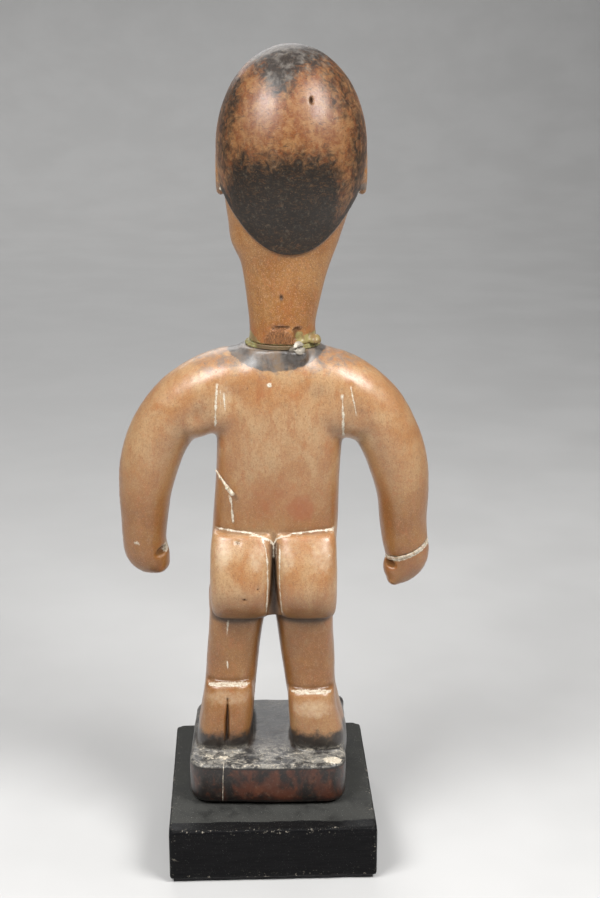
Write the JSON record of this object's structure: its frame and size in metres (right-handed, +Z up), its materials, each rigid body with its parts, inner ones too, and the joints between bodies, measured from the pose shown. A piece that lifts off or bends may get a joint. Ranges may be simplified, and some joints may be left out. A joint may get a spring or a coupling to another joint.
{
  "type": "carved ancestor figure",
  "caption": "Standing carved wooden ancestor figure with egg-shaped head, bowed free-hanging arms and integral plinth, on a black display stand.",
  "frame": {"origin": "centre of the display stand's underside (the felt sheet's lower face)", "axes": "+Z up through the figure; the figure faces -Y and its left arm is on +X"},
  "size_m": [0.1242, 0.0952, 0.3227],
  "materials": {
    "carved_wood": "satin",
    "black_paint": "matte",
    "felt": "matte",
    "steel": "satin",
    "yellowed_glue": "gloss",
    "white_glue": "matte",
    "white_filler": "matte"
  },
  "bodies": {
    "root": {"display_stand": "black_paint", "felt_base": "felt", "body_carving": "carved_wood", "head_carving": "carved_wood", "right_hand": "carved_wood", "wrist_glue": "white_glue", "neck_glue": "yellowed_glue", "neck_screw": "steel", "flank_filler": "white_filler", "stand_screw_left": "steel", "stand_screw_right": "steel"}
  },
  "joints": []
}
